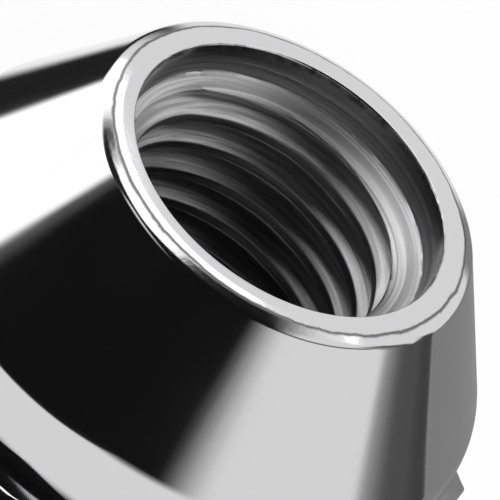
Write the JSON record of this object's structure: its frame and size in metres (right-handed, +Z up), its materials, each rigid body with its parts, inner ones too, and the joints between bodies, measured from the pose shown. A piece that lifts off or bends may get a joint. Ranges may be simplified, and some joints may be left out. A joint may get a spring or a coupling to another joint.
{
  "type": "acorn lug nut",
  "caption": "Closed acorn lug nut with a conical seat, a round land, a wrench hexagon and a domed end, for holding a car wheel on its threaded stud.",
  "frame": {"origin": "on the resting plane, below the middle of the nut's length and width", "axes": "+X along the nut's axis, out of its threaded mouth; +Z up, square to the flat it lies on"},
  "size_m": [0.038, 0.0256, 0.0222],
  "materials": {
    "chrome_plating": "polished chrome plating on steel"
  },
  "bodies": {
    "root": {"lug_nut": "chrome_plating"}
  },
  "joints": []
}
